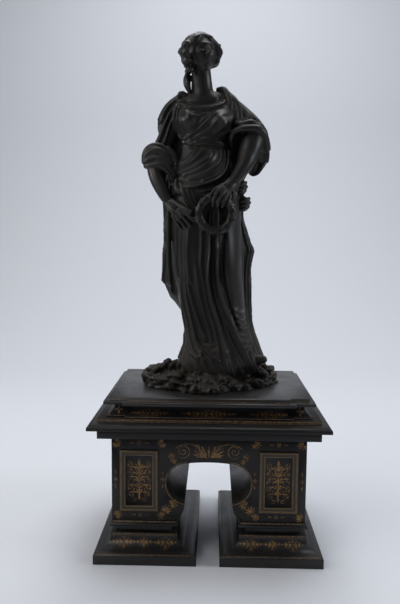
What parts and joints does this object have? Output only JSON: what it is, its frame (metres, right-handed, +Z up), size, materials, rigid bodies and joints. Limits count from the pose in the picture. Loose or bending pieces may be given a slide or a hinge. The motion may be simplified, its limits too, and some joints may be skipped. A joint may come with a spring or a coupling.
{
  "type": "wooden statue on a plinth",
  "caption": "Carved standing draped woman holding a wreath, on broken ground, set on an arched moulded plinth with framed sunk panels.",
  "frame": {"origin": "on the ground, under the middle of the plinth", "axes": "+Z up; +X to the figure's left, the viewer's right; the figure looks toward -Y"},
  "size_m": [0.248, 0.175, 0.5602],
  "materials": {
    "carved_wood": "black-stained carved wood with a dull polish and brown dust in the hollows",
    "ebonised_wood": "ebonised, satin polish, with worn gilt engraved ornament",
    "gilt_frame": "worn brown gilding on a narrow wooden moulding"
  },
  "bodies": {
    "root": {"figure": "carved_wood", "top_board": "ebonised_wood", "frieze": "ebonised_wood", "cornice": "ebonised_wood", "fascia": "ebonised_wood", "arch_body": "ebonised_wood", "panel_frame_left": "gilt_frame", "panel_frame_right": "gilt_frame", "foot_left": "ebonised_wood", "foot_right": "ebonised_wood"}
  },
  "joints": []
}
